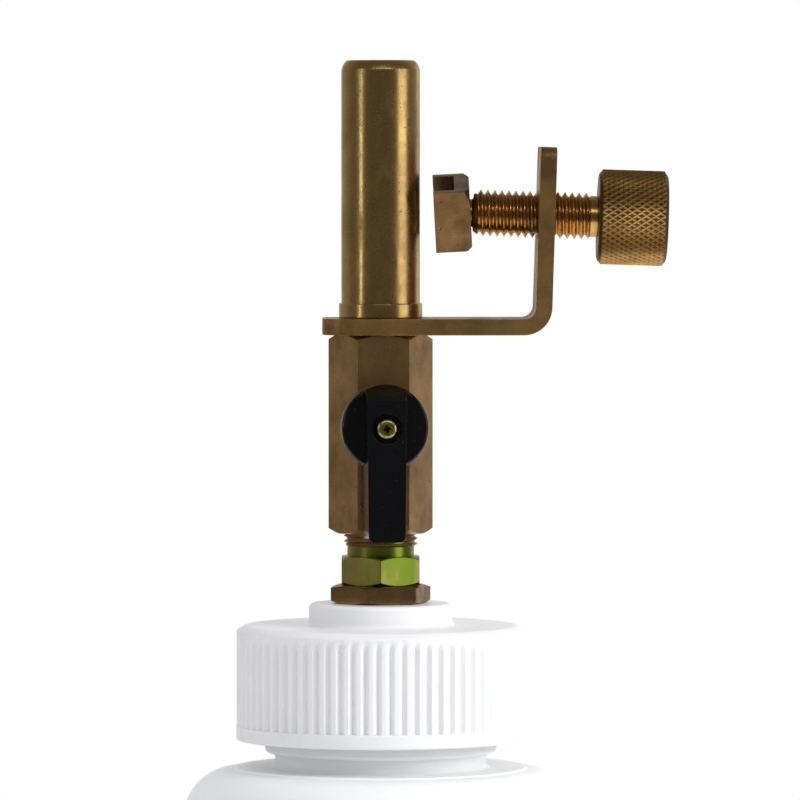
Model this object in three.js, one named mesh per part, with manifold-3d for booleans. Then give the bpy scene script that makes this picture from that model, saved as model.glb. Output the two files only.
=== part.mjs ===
// Bottle-top lampwork torch: a screw-cap bottle whose cap carries a hex nipple, a small ball
// valve with a lever, a brass outlet tube and a strap clamp with a knurled thumb screw.
// Millimetres, +Z up. The origin is the middle of the bottle's flat base, the torch axis is Z,
// the clamp lies toward +X and the valve lever faces -Y.
import * as THREE from 'three';
import { mergeVertices } from 'three/addons/utils/BufferGeometryUtils.js';
import Module from 'manifold-3d';

const wasm = await Module();
wasm.setup();

// ---------------------------------------------------------------- driving dimensions
const GAP = 0.3; // free play between a piece and the piece that passes through it
const TURN = 2 * Math.PI;
const DEG = Math.PI / 180;

// bottle
const BOTTLE_RADIUS = 37;
const BOTTLE_WALL = 1.3;
const LEDGE_RADIUS = 27;
const LEDGE_Z = 141.2;
const NECK_RADIUS = 19.6;
const FINISH_RADIUS = 21.45;
const FINISH_BOTTOM = 143.9;
const FINISH_TOP = 164;
const NECK_BORE = 18;

// screw closure shared by the bottle and the cap
const CLOSURE_PITCH = 4.2;
const CLOSURE_START = 154.4;
const BOTTLE_RIDGE_RADIUS = 22.9;
const CAP_RIDGE_RADIUS = 22;

// cap
const CAP_RADIUS = 26.8;
const CAP_VALLEY_RADIUS = 26.15;
const CAP_INNER_RADIUS = 24;
const CAP_BOTTOM = 146.3;
const CAP_BAND_TOP = 148.9;
const CAP_TOP = 167.5;
const CAP_PLATE_UNDERSIDE = 165.5;
const CAP_RIBS = 72;
const BOSS_RADIUS = 13.3;
const BOSS_TOP = 171.6;

// nipple and the stack that holds it in the cap
const NIPPLE_THREAD_RADIUS = 6.85;
const NIPPLE_PITCH = 1;
const NIPPLE_NECK_RADIUS = 6.2;
const NIPPLE_BORE = 4;
const NIPPLE_HEX = 14.4;
const NIPPLE_BOTTOM = 156;
const NIPPLE_HEX_BOTTOM = 175;
const NIPPLE_HEX_TOP = 180.4;
const NIPPLE_NECK_TOP = 182.3;
const NIPPLE_THREAD_END = 186.3;
const NIPPLE_TOP = 193;
const THREAD_CLEARANCE = NIPPLE_THREAD_RADIUS + GAP;
const OUTER_NUT_HEX = 16.5;
const INNER_NUT_HEX = 17;
const INNER_NUT_HEIGHT = 4;
const INNER_GASKET_HEIGHT = 1.2;
const INNER_WASHER_HEIGHT = 1.5;

// valve body and the parts inside it
const VALVE_HEX = 16.8;
const VALVE_BOTTOM = 184.6;
const VALVE_TOP = 221.4;
const VALVE_CHAMBER_RADIUS = 7;
const VALVE_CHAMBER_BOTTOM = 197.3;
const VALVE_PASSAGE_RADIUS = 3.4;
const BALL_Z = 204.5;
const BALL_RADIUS = 5.5;
const SEAT_HEIGHT = 3.2;
const FRONT_BOSS_RADIUS = 7.9;
const FRONT_BOSS_REACH = 10.3;

// stem, lever and its screw, measured outward from the valve axis
const STEM_RADIUS = 2.5;
const STEM_FLAT = 1.75;
const LEVER_BACK = 10.6;
const LEVER_DISC_RADIUS = 8;
const LEVER_DISC_FRONT = 13;
const LEVER_FRONT = 18;
const LEVER_TIP = -20.8;
const STEM_END = 14.4;
const RECESS_FLOOR = 16.1;
const RECESS_RADIUS = 2.7;
const LEVER_BACK_HALF = 4.35;
const LEVER_FRONT_HALF = 3.4;
const LEVER_SCREW_RADIUS = 1;
const LEVER_SCREW_HEAD = 2.1;
const LEVER_SCREW_TOP = 17.8;
const STOP_RADIUS = 6;
const STOP_PIN_RADIUS = 0.8;
const STOP_ANGLE = 45 * DEG;

// strap bracket
const STRAP_THICKNESS = 3;
const STRAP_HALF_WIDTH = 9.5;
const STRAP_LEFT = -10.8;
const STRAP_BOTTOM = VALVE_TOP;
const STRAP_TOP = STRAP_BOTTOM + STRAP_THICKNESS;
const BEND_INNER_RADIUS = 2.2;
const BEND_X = 26.3;
const LEAN = 1.8 * DEG;
// The strap is pinned a little out of square with the valve's flats.
const CLAMP_TWIST = -3 * DEG;
const UPRIGHT_LENGTH = 29.6;
const SCREW_UP = 17;

// outlet tube
const TUBE_RADIUS = 7.3;
const TUBE_BORE = 4.9;
const TUBE_TOP = 272.1;
const COLLAR_RADIUS = 7.75;
const COLLAR_TOP = 227.2;
const SHANK_RADIUS = 6.7;
const SHANK_BOTTOM = 214.8;

// clamp screw, knob and jaw, measured along the screw from the middle of the upright
const SCREW_CREST = 4.32;
const SCREW_ROOT = 3.6;
const SCREW_PITCH = 1.3;
const SCREW_THREAD_START = -13.4;
const SCREW_THREAD_END = 8.4;
const SCREW_NECK_RADIUS = 3.8;
const SPIGOT_RADIUS = 3;
const SPIGOT_END = 19;
const TIP_RADIUS = 2.5;
const TIP_END = -18.8;
const KNOB_RADIUS = 8.8;
const KNOB_START = 9.7;
const KNOB_END = 22.5;
const JAW_FRONT = -20.6;
const JAW_BACK = -13.9;
const JAW_SLOT_FLOOR = -16.7;
const JAW_HALF_HEIGHT = 5.8;
const JAW_HALF_DEPTH = 5.75;
const JAW_SLOT_HALF = 4.3;
const JAW_TURN = 17 * DEG;
const JAW_TILT = -5 * DEG;

// ---------------------------------------------------------------- shape helpers
// A closed geometry becomes a solid: vertices shared, slivers dropped, faces pointing out.
function solidOf(geometry) {
  const bare = geometry.clone();
  bare.deleteAttribute('normal');
  bare.deleteAttribute('uv');
  const merged = mergeVertices(bare, 1e-5);
  const position = merged.attributes.position;
  const triangles = [];
  let volume = 0;
  for (let i = 0; i < merged.index.count; i += 3) {
    const [a, b, c] = [0, 1, 2].map((k) => merged.index.getX(i + k));
    if (a === b || b === c || c === a) continue;
    const [pa, pb, pc] = [a, b, c].map((k) => new THREE.Vector3().fromBufferAttribute(position, k));
    volume += pa.dot(pb.cross(pc));
    triangles.push([a, b, c]);
  }
  const facing = volume < 0 ? triangles.map(([a, b, c]) => [a, c, b]) : triangles;
  return new wasm.Manifold(new wasm.Mesh({
    numProp: 3,
    vertProperties: new Float32Array(position.array),
    triVerts: new Uint32Array(facing.flat()),
  }));
}

function geometryOf(solid) {
  const mesh = solid.getMesh();
  const geometry = new THREE.BufferGeometry();
  geometry.setAttribute('position', new THREE.BufferAttribute(new Float32Array(mesh.vertProperties), 3));
  geometry.setIndex(new THREE.BufferAttribute(new Uint32Array(mesh.triVerts), 1));
  return geometry;
}

const joined = (...solids) => solids.reduce((whole, piece) => whole.add(piece));
const cut = (blank, ...tools) => tools.reduce((whole, tool) => whole.subtract(tool), blank);

// Turned about Z from [radius, height] points. A profile that stays off the axis closes on itself.
function turnedGeometry(points, segments = 24) {
  const profile = points.map(([r, z]) => new THREE.Vector2(r, z));
  if (points[0][0] > 0) profile.push(profile[0].clone());
  return new THREE.LatheGeometry(profile, segments).rotateX(Math.PI / 2);
}
const turned = (points, segments) => solidOf(turnedGeometry(points, segments));
const rod = (radius, from, to, segments) => turned([[0, from], [radius, from], [radius, to], [0, to]], segments);
const ring = (inner, outer, from, to, segments) =>
  turned([[inner, from], [outer, from], [outer, to], [inner, to]], segments);

// A rod along -Y at the height of the ball, for the ports and the boss on the valve's front.
function frontRod(radius, from, to, x = 0, up = 0) {
  const points = [[0, from], [radius, from], [radius, to], [0, to]];
  return solidOf(turnedGeometry(points).rotateX(Math.PI / 2).translate(x, 0, BALL_Z + up));
}

function box(x0, x1, y0, y1, z0, z1) {
  const geometry = new THREE.BoxGeometry(x1 - x0, y1 - y0, z1 - z0);
  return solidOf(geometry.translate((x0 + x1) / 2, (y0 + y1) / 2, (z0 + z1) / 2));
}

function extruded(shape, from, to, curveSegments = 6) {
  const geometry = new THREE.ExtrudeGeometry(shape, { depth: to - from, bevelEnabled: false, curveSegments });
  return solidOf(geometry.translate(0, 0, from));
}

// Hexagonal bar between two heights, its corners chamfered at 30 degrees as a turned nut's are.
function hexBar(acrossFlats, from, to, spin, chamferBottom = 0.55, chamferTop = chamferBottom) {
  const corner = acrossFlats / 2 / Math.cos(Math.PI / 6);
  const outline = new THREE.Shape();
  for (let i = 0; i < 6; i += 1) {
    const angle = spin + i * TURN / 6;
    const point = [corner * Math.cos(angle), corner * Math.sin(angle)];
    if (i === 0) outline.moveTo(...point);
    else outline.lineTo(...point);
  }
  outline.closePath();
  const flat = acrossFlats / 2 - 0.1;
  const envelope = turned([
    [0, from], [flat, from], [corner + 0.01, from + chamferBottom],
    [corner + 0.01, to - chamferTop], [flat, to], [0, to],
  ], 36);
  return extruded(outline, from, to).intersect(envelope);
}

// Screw-thread surface on a rod: the radius follows the height's phase round a right-hand helix.
function threadedRod(crest, root, pitch, from, to, segments = 12, stepsPerPitch = 4) {
  const rows = Math.round((to - from) / pitch * stepsPerPitch);
  const vertices = [];
  const triangles = [];
  for (let row = 0; row <= rows; row += 1) {
    const z = from + (to - from) * row / rows;
    for (let i = 0; i < segments; i += 1) {
      const phase = ((z / pitch - i / segments) % 1 + 1) % 1;
      const height = Math.min(1, Math.max(0, 1.25 - 3 * Math.abs(phase - 0.5)));
      const radius = root + (crest - root) * height;
      const angle = i * TURN / segments;
      vertices.push(radius * Math.cos(angle), radius * Math.sin(angle), z);
      if (row === 0) continue;
      const next = (i + 1) % segments;
      const below = (row - 1) * segments;
      const here = row * segments;
      triangles.push(below + i, below + next, here + next, below + i, here + next, here + i);
    }
  }
  const bottomCentre = vertices.length / 3;
  vertices.push(0, 0, from, 0, 0, to);
  for (let i = 0; i < segments; i += 1) {
    const next = (i + 1) % segments;
    triangles.push(bottomCentre, next, i);
    triangles.push(bottomCentre + 1, rows * segments + i, rows * segments + next);
  }
  const geometry = new THREE.BufferGeometry();
  geometry.setAttribute('position', new THREE.Float32BufferAttribute(vertices, 3));
  geometry.setIndex(triangles);
  return solidOf(geometry);
}

// A moulded thread ridge: a four-sided section carried up a helix, tapered away at both ends.
function helixRidge(rootRadius, crestRadius, start, turns, segmentsPerTurn = 24) {
  const steps = Math.round(turns * segmentsPerTurn);
  const vertices = [];
  const triangles = [];
  for (let step = 0; step <= steps; step += 1) {
    const swept = step / segmentsPerTurn;
    const fade = Math.min(1, step / 4, (steps - step) / 4);
    const crest = rootRadius + (crestRadius - rootRadius) * (0.25 + 0.75 * fade);
    const z = start + CLOSURE_PITCH * swept;
    for (const [radius, rise] of [[rootRadius, -0.9], [crest, -0.45], [crest, 0.45], [rootRadius, 0.9]]) {
      vertices.push(radius * Math.cos(swept * TURN), radius * Math.sin(swept * TURN), z + rise);
    }
    if (step === 0) continue;
    for (let i = 0; i < 4; i += 1) {
      const next = (i + 1) % 4;
      const below = (step - 1) * 4;
      const here = step * 4;
      triangles.push(below + i, below + next, here + next, below + i, here + next, here + i);
    }
  }
  const last = steps * 4;
  triangles.push(0, 2, 1, 0, 3, 2, last, last + 1, last + 2, last, last + 2, last + 3);
  const geometry = new THREE.BufferGeometry();
  geometry.setAttribute('position', new THREE.Float32BufferAttribute(vertices, 3));
  geometry.setIndex(triangles);
  return solidOf(geometry);
}

// ---------------------------------------------------------------- materials and node list
const brass = { color: '#8a6d33', roughness: 0.36, metalness: 1 };
const brightBrass = { color: '#c79a45', roughness: 0.28, metalness: 1 };
const yellowZinc = { color: '#a9a04f', roughness: 0.3, metalness: 1 };
const steel = { color: '#b9bcc0', roughness: 0.32, metalness: 1 };
const whitePlastic = { color: '#f1f2f2', roughness: 0.4, metalness: 0 };
const milkyPlastic = { color: '#eceeee', roughness: 0.48, metalness: 0 };
const blackPlastic = { color: '#0d0d0e', roughness: 0.16, metalness: 0 };
const rubber = { color: '#1c1c1d', roughness: 0.8, metalness: 0 };
const sealPlastic = { color: '#f4f3ee', roughness: 0.5, metalness: 0 };
const foam = { color: '#e3e4e2', roughness: 0.9, metalness: 0 };

const torch = new THREE.Group();
function addPart(parent, name, solid, look) {
  const mesh = new THREE.Mesh(geometryOf(solid), new THREE.MeshStandardMaterial({ ...look, flatShading: true }));
  mesh.name = name;
  parent.add(mesh);
}

// ---------------------------------------------------------------- bottle and cap
function makeBottle() {
  const inside = BOTTLE_RADIUS - BOTTLE_WALL;
  const wall = turned([
    [0, 0], [BOTTLE_RADIUS - 3, 0], [BOTTLE_RADIUS - 0.9, 0.9], [BOTTLE_RADIUS, 3],
    [BOTTLE_RADIUS, 130], [36.6, 133.6], [35.7, 136.1], [34.1, 138.2], [31.2, 140.1],
    [LEDGE_RADIUS + 0.2, 140.8], [LEDGE_RADIUS - 0.1, LEDGE_Z], [NECK_RADIUS + 0.5, LEDGE_Z],
    [NECK_RADIUS, LEDGE_Z + 0.6], [NECK_RADIUS, FINISH_BOTTOM], [FINISH_RADIUS - 0.6, FINISH_BOTTOM],
    [FINISH_RADIUS, FINISH_BOTTOM + 0.7], [FINISH_RADIUS, FINISH_TOP - 0.4], [FINISH_RADIUS - 0.4, FINISH_TOP],
    [NECK_BORE + 0.2, FINISH_TOP], [NECK_BORE, FINISH_TOP - 0.3], [NECK_BORE, LEDGE_Z - 0.6],
    [LEDGE_RADIUS - 1, LEDGE_Z - 1.7], [32.6, 137.6], [34.8, 134.6], [inside, 129],
    [inside, 3.4], [inside - 2, BOTTLE_WALL + 0.3], [0, BOTTLE_WALL + 0.3],
  ], 32);
  return wall.add(helixRidge(FINISH_RADIUS - 0.4, BOTTLE_RIDGE_RADIUS, CLOSURE_START, 1.6));
}

function makeCap() {
  const fluted = new THREE.Shape();
  for (let i = 0; i < CAP_RIBS * 2; i += 1) {
    const radius = i % 2 ? CAP_VALLEY_RADIUS : CAP_RADIUS;
    const angle = i * Math.PI / CAP_RIBS;
    const point = [radius * Math.cos(angle), radius * Math.sin(angle)];
    if (i === 0) fluted.moveTo(...point);
    else fluted.lineTo(...point);
  }
  fluted.closePath();
  const ribs = extruded(fluted, CAP_BAND_TOP, CAP_TOP);
  const crown = turned([
    [0, CAP_BOTTOM], [CAP_RADIUS, CAP_BOTTOM], [CAP_RADIUS + 0.1, CAP_TOP - 0.9], [CAP_RADIUS - 0.8, CAP_TOP],
    [0, CAP_TOP],
  ], 48);
  const shell = joined(
    ribs.intersect(crown),
    rod(CAP_RADIUS, CAP_BOTTOM, CAP_BAND_TOP, 48),
    turned([
      [0, CAP_PLATE_UNDERSIDE], [BOSS_RADIUS + 0.5, CAP_PLATE_UNDERSIDE], [BOSS_RADIUS + 0.5, CAP_TOP],
      [BOSS_RADIUS, CAP_TOP + 0.5], [BOSS_RADIUS, BOSS_TOP - 0.9], [BOSS_RADIUS - 0.9, BOSS_TOP], [0, BOSS_TOP],
    ], 36),
  );
  const hollow = rod(CAP_INNER_RADIUS, CAP_BOTTOM - 1, CAP_PLATE_UNDERSIDE, 36);
  const ridge = helixRidge(CAP_INNER_RADIUS + 0.4, CAP_RIDGE_RADIUS, CLOSURE_START - CLOSURE_PITCH / 2, 1.6);
  return cut(shell, hollow, rod(THREAD_CLEARANCE, CAP_PLATE_UNDERSIDE - 1, BOSS_TOP + 1)).add(ridge);
}

function addBottleAndCap() {
  addPart(torch, 'bottle', makeBottle(), milkyPlastic);
  addPart(torch, 'cap', makeCap(), whitePlastic);
  addPart(torch, 'cap_liner', ring(15.5, 23.4, FINISH_TOP + GAP, CAP_PLATE_UNDERSIDE - 0.2, 36), foam);
}

// ---------------------------------------------------------------- nipple and its nuts
function makeNipple() {
  const lower = turned([
    [0, NIPPLE_BOTTOM], [NIPPLE_THREAD_RADIUS - 0.7, NIPPLE_BOTTOM], [NIPPLE_THREAD_RADIUS, NIPPLE_BOTTOM + 0.7],
    [NIPPLE_THREAD_RADIUS, NIPPLE_HEX_BOTTOM + 0.1], [0, NIPPLE_HEX_BOTTOM + 0.1],
  ]);
  const hex = hexBar(NIPPLE_HEX, NIPPLE_HEX_BOTTOM, NIPPLE_HEX_TOP, 26 * DEG, 0.5);
  const neck = rod(NIPPLE_NECK_RADIUS, NIPPLE_HEX_TOP - 0.1, NIPPLE_TOP);
  const threadRoot = NIPPLE_THREAD_RADIUS - 0.55;
  const thread = threadedRod(NIPPLE_THREAD_RADIUS, threadRoot, NIPPLE_PITCH, NIPPLE_NECK_TOP, NIPPLE_THREAD_END, 16);
  return cut(joined(lower, hex, neck, thread), rod(NIPPLE_BORE, NIPPLE_BOTTOM - 1, NIPPLE_TOP + 1));
}

function nut(acrossFlats, from, to, spin) {
  return cut(hexBar(acrossFlats, from, to, spin), rod(THREAD_CLEARANCE, from - 1, to + 1));
}

function addNippleStack() {
  const gasketBottom = CAP_PLATE_UNDERSIDE - INNER_GASKET_HEIGHT;
  const washerBottom = gasketBottom - INNER_WASHER_HEIGHT;
  const nutBottom = washerBottom - INNER_NUT_HEIGHT;
  addPart(torch, 'hex_nipple', makeNipple(), yellowZinc);
  addPart(torch, 'lock_nut_outer', nut(OUTER_NUT_HEX, BOSS_TOP, NIPPLE_HEX_BOTTOM, 9.6 * DEG), brass);
  addPart(torch, 'inner_gasket', ring(THREAD_CLEARANCE, 11.5, gasketBottom, CAP_PLATE_UNDERSIDE), rubber);
  addPart(torch, 'inner_washer', ring(THREAD_CLEARANCE, 12, washerBottom, gasketBottom), steel);
  addPart(torch, 'lock_nut_inner', nut(INNER_NUT_HEX, nutBottom, washerBottom, 0), brass);
}

// ---------------------------------------------------------------- ball valve
function makeValveBody() {
  const blank = joined(
    hexBar(VALVE_HEX, VALVE_BOTTOM, VALVE_TOP, 0, 1),
    frontRod(FRONT_BOSS_RADIUS, 7.5, FRONT_BOSS_REACH),
    frontRod(STOP_PIN_RADIUS, 9, 12, STOP_RADIUS * Math.sin(STOP_ANGLE), STOP_RADIUS * Math.cos(STOP_ANGLE)),
  );
  return cut(
    blank,
    rod(THREAD_CLEARANCE, VALVE_BOTTOM - 1, NIPPLE_TOP + 0.8),
    rod(VALVE_PASSAGE_RADIUS, NIPPLE_TOP, VALVE_CHAMBER_BOTTOM + 1),
    rod(VALVE_CHAMBER_RADIUS, VALVE_CHAMBER_BOTTOM, VALVE_TOP + 1),
    frontRod(4, 5, 7.7),
    frontRod(STEM_RADIUS + GAP, 5, FRONT_BOSS_REACH + 1),
  );
}

// A seat ring with a spherical face that the ball rests in, pointing up (+1) or down (-1).
function makeSeat(facing) {
  const edge = BALL_Z - facing * (BALL_Z - VALVE_CHAMBER_BOTTOM);
  const inner = edge + facing * SEAT_HEIGHT;
  const blank = ring(3.3, VALVE_CHAMBER_RADIUS - 0.25, Math.min(edge, inner), Math.max(edge, inner));
  const pocket = new THREE.SphereGeometry(BALL_RADIUS + 0.15, 20, 14).rotateX(Math.PI / 2);
  return cut(blank, solidOf(pocket.translate(0, 0, BALL_Z)));
}

function makeBall() {
  const ball = solidOf(new THREE.SphereGeometry(BALL_RADIUS, 20, 14).rotateX(Math.PI / 2).translate(0, 0, BALL_Z));
  const port = rod(3.2, BALL_Z - 8, BALL_Z + 8);
  const slot = box(-8, 8, -7, -3.9, BALL_Z - 1.15, BALL_Z + 1.15);
  return cut(ball, port, slot);
}

function addValve() {
  const retainerBottom = 2 * BALL_Z - VALVE_CHAMBER_BOTTOM;
  addPart(torch, 'valve_body', makeValveBody(), brass);
  addPart(torch, 'seat_lower', makeSeat(1), sealPlastic);
  addPart(torch, 'seat_upper', makeSeat(-1), sealPlastic);
  const retainer = ring(3.4, VALVE_CHAMBER_RADIUS - GAP, retainerBottom, retainerBottom + 2.4);
  const keyway = box(-7.5, 7.5, -0.7, 0.7, retainerBottom + 1.4, retainerBottom + 3);
  addPart(torch, 'seat_retainer', cut(retainer, keyway), brass);
  addPart(torch, 'valve_ball', makeBall(), steel);
}

// ---------------------------------------------------------------- stem and lever
// This group's Z runs out along the stem (world -Y), its Y is world up.
const stemGroup = new THREE.Group();
stemGroup.position.set(0, 0, BALL_Z);
stemGroup.rotation.x = Math.PI / 2;
torch.add(stemGroup);

function makeStem() {
  const blank = turned([
    [0, 4.1], [1.9, 4.1], [1.9, 6], [3.7, 6], [3.7, 6.9], [STEM_RADIUS, 6.9],
    [STEM_RADIUS, 8.1], [1.8, 8.1], [1.8, 9.1], [STEM_RADIUS, 9.1], [STEM_RADIUS, 9.4], [1.8, 9.4],
    [1.8, 10.4], [STEM_RADIUS, 10.4], [STEM_RADIUS, STEM_END], [0, STEM_END],
  ], 16);
  return cut(
    blank,
    box(-4, 4, 0.95, 4, 3, 5.95),
    box(-4, 4, -4, -0.95, 3, 5.95),
    box(STEM_FLAT, 4, -4, 4, 11, STEM_END + 1),
    box(-4, -STEM_FLAT, -4, 4, 11, STEM_END + 1),
    rod(1.3, 12, STEM_END + 1, 10),
  );
}

function oRing(height) {
  return solidOf(new THREE.TorusGeometry(2.28, 0.4, 6, 16).translate(0, 0, height));
}

function makeLever() {
  const grip = new THREE.Shape();
  grip.moveTo(LEVER_BACK, LEVER_TIP + 1);
  grip.lineTo(LEVER_BACK, 0);
  grip.lineTo(LEVER_DISC_FRONT - 0.5, LEVER_DISC_RADIUS - 0.4);
  grip.lineTo(LEVER_FRONT - 0.5, 5.6);
  grip.lineTo(LEVER_FRONT, 5);
  grip.lineTo(LEVER_FRONT, LEVER_TIP + 0.6);
  grip.lineTo(LEVER_FRONT - 0.6, LEVER_TIP);
  grip.lineTo(LEVER_BACK + 1, LEVER_TIP);
  grip.closePath();
  const sideways = new THREE.ExtrudeGeometry(grip, { depth: 12, bevelEnabled: false }).translate(0, 0, -6);
  const side = solidOf(sideways.rotateY(-Math.PI / 2));
  const draft = new THREE.Shape();
  draft.moveTo(-LEVER_BACK_HALF - 0.1, LEVER_BACK - 0.5);
  draft.lineTo(LEVER_BACK_HALF + 0.1, LEVER_BACK - 0.5);
  draft.lineTo(LEVER_BACK_HALF, LEVER_DISC_FRONT);
  draft.lineTo(LEVER_FRONT_HALF + 0.1, LEVER_FRONT - 0.6);
  draft.lineTo(LEVER_FRONT_HALF - 0.4, LEVER_FRONT + 0.1);
  draft.lineTo(-LEVER_FRONT_HALF + 0.4, LEVER_FRONT + 0.1);
  draft.lineTo(-LEVER_FRONT_HALF - 0.1, LEVER_FRONT - 0.6);
  draft.lineTo(-LEVER_BACK_HALF, LEVER_DISC_FRONT);
  draft.closePath();
  const along = new THREE.ExtrudeGeometry(draft, { depth: 40, bevelEnabled: false }).rotateX(Math.PI / 2);
  const roundTop = joined(
    rod(LEVER_DISC_RADIUS, LEVER_BACK - 1, LEVER_FRONT + 1, 32),
    box(-LEVER_DISC_RADIUS, LEVER_DISC_RADIUS, LEVER_TIP - 1, 0, LEVER_BACK - 1, LEVER_FRONT + 1),
  );
  const bar = side.intersect(solidOf(along.translate(0, 15, 0))).intersect(roundTop);
  const disc = turned([
    [0, LEVER_BACK], [LEVER_DISC_RADIUS - 0.3, LEVER_BACK], [LEVER_DISC_RADIUS, LEVER_BACK + 0.4],
    [LEVER_DISC_RADIUS, LEVER_DISC_FRONT - 0.7], [LEVER_DISC_RADIUS - 0.7, LEVER_DISC_FRONT], [0, LEVER_DISC_FRONT],
  ], 32);
  const driveHole = rod(STEM_RADIUS + 0.25, LEVER_BACK - 1, STEM_END + 0.3, 16)
    .intersect(box(-STEM_FLAT - 0.2, STEM_FLAT + 0.2, -4, 4, 0, 20));
  return cut(
    joined(disc, bar),
    driveHole,
    rod(STEM_RADIUS + 0.25, LEVER_BACK - 1, 11.1, 16),
    rod(1.7, STEM_END, RECESS_FLOOR + 0.5, 12),
    rod(RECESS_RADIUS, RECESS_FLOOR, LEVER_FRONT + 1, 20),
    stopGroove(),
  );
}

// The curved groove behind the lever that runs over the stop pin and ends a quarter turn away.
function stopGroove() {
  const half = STOP_PIN_RADIUS + 0.4;
  const slack = half / STOP_RADIUS;
  const from = Math.PI / 2 - STOP_ANGLE - slack;
  const to = from + Math.PI / 2 + 2 * slack;
  const groove = new THREE.Shape();
  groove.absarc(0, 0, STOP_RADIUS + half, from, to, false);
  groove.absarc(0, 0, STOP_RADIUS - half, to, from, true);
  groove.closePath();
  return extruded(groove, LEVER_BACK - 1, 12.2, 8);
}

function makeLeverScrew() {
  const head = turned([
    [0, LEVER_SCREW_TOP - 1.2], [LEVER_SCREW_HEAD, LEVER_SCREW_TOP - 1.2], [LEVER_SCREW_HEAD, LEVER_SCREW_TOP - 0.5],
    [LEVER_SCREW_HEAD - 0.6, LEVER_SCREW_TOP], [0, LEVER_SCREW_TOP],
  ], 16);
  const shank = rod(LEVER_SCREW_RADIUS, 12.3, LEVER_SCREW_TOP - 1, 10);
  const cross = [box(-1.2, 1.2, -0.25, 0.25, 17.1, 18), box(-0.25, 0.25, -1.2, 1.2, 17.1, 18)];
  return cut(joined(head, shank), ...cross);
}

// A split spring washer under the screw head.
function makeSplitWasher() {
  const outline = new THREE.Shape();
  outline.absarc(0, 0, LEVER_SCREW_HEAD, 0.15, TURN - 0.15, false);
  outline.absarc(0, 0, 1.3, TURN - 0.15, 0.15, true);
  outline.closePath();
  return extruded(outline, RECESS_FLOOR, RECESS_FLOOR + 0.4, 14);
}

function addStemAndLever() {
  addPart(stemGroup, 'valve_stem', makeStem(), brass);
  addPart(stemGroup, 'stem_thrust_washer', ring(2.8, 3.7, 7.1, 7.5, 16), sealPlastic);
  addPart(stemGroup, 'stem_oring_inner', oRing(8.6), rubber);
  addPart(stemGroup, 'stem_oring_outer', oRing(9.9), rubber);
  addPart(stemGroup, 'handle', makeLever(), blackPlastic);
  addPart(stemGroup, 'handle_lock_washer', makeSplitWasher(), yellowZinc);
  addPart(stemGroup, 'handle_screw', makeLeverScrew(), yellowZinc);
}

// ---------------------------------------------------------------- strap bracket and outlet tube
const bendOuterRadius = BEND_INNER_RADIUS + STRAP_THICKNESS;
const bendZ = STRAP_TOP + BEND_INNER_RADIUS;
const uprightUp = new THREE.Vector2(Math.sin(LEAN), Math.cos(LEAN));
const uprightOut = new THREE.Vector2(Math.cos(LEAN), -Math.sin(LEAN));

// A point of the upright in the XZ plane, from the bend's centre: outward, then along it.
function onUpright(outward, along) {
  return new THREE.Vector2(BEND_X, bendZ).addScaledVector(uprightOut, outward).addScaledVector(uprightUp, along);
}

function makeBracket() {
  const outline = new THREE.Shape();
  const outerTop = onUpright(bendOuterRadius, UPRIGHT_LENGTH);
  const innerTop = onUpright(BEND_INNER_RADIUS, UPRIGHT_LENGTH);
  outline.moveTo(STRAP_LEFT, STRAP_BOTTOM);
  outline.lineTo(BEND_X, STRAP_BOTTOM);
  outline.absarc(BEND_X, bendZ, bendOuterRadius, -Math.PI / 2, -LEAN, false);
  outline.lineTo(outerTop.x, outerTop.y);
  outline.lineTo(innerTop.x, innerTop.y);
  outline.absarc(BEND_X, bendZ, BEND_INNER_RADIUS, -LEAN, -Math.PI / 2, true);
  outline.lineTo(STRAP_LEFT, STRAP_TOP);
  outline.closePath();
  const bent = new THREE.ExtrudeGeometry(outline, { depth: 2 * STRAP_HALF_WIDTH, bevelEnabled: false, curveSegments: 8 });
  const strip = solidOf(bent.translate(0, 0, -STRAP_HALF_WIDTH).rotateX(Math.PI / 2));
  return cut(
    strip.intersect(roundedEndPlan()).intersect(roundedTopFront()),
    rod(SHANK_RADIUS + GAP, STRAP_BOTTOM - 1, STRAP_TOP + 1),
    solidOf(alongScrew(turnedGeometry([[0, -5], [SCREW_CREST + GAP, -5], [SCREW_CREST + GAP, 5], [0, 5]]))),
  );
}

// The strap seen from above: square at the bend, well rounded at the free end.
function roundedEndPlan() {
  const corner = 5.5;
  const plan = new THREE.Shape();
  plan.moveTo(60, -20);
  plan.lineTo(60, 20);
  plan.lineTo(0, 20);
  plan.lineTo(0, STRAP_HALF_WIDTH);
  plan.lineTo(STRAP_LEFT + corner, STRAP_HALF_WIDTH);
  plan.absarc(STRAP_LEFT + corner, STRAP_HALF_WIDTH - corner, corner, Math.PI / 2, Math.PI, false);
  plan.absarc(STRAP_LEFT + corner, corner - STRAP_HALF_WIDTH, corner, Math.PI, 1.5 * Math.PI, false);
  plan.lineTo(0, -STRAP_HALF_WIDTH);
  plan.lineTo(0, -20);
  plan.closePath();
  return extruded(plan, 200, 280, 6);
}

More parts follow.
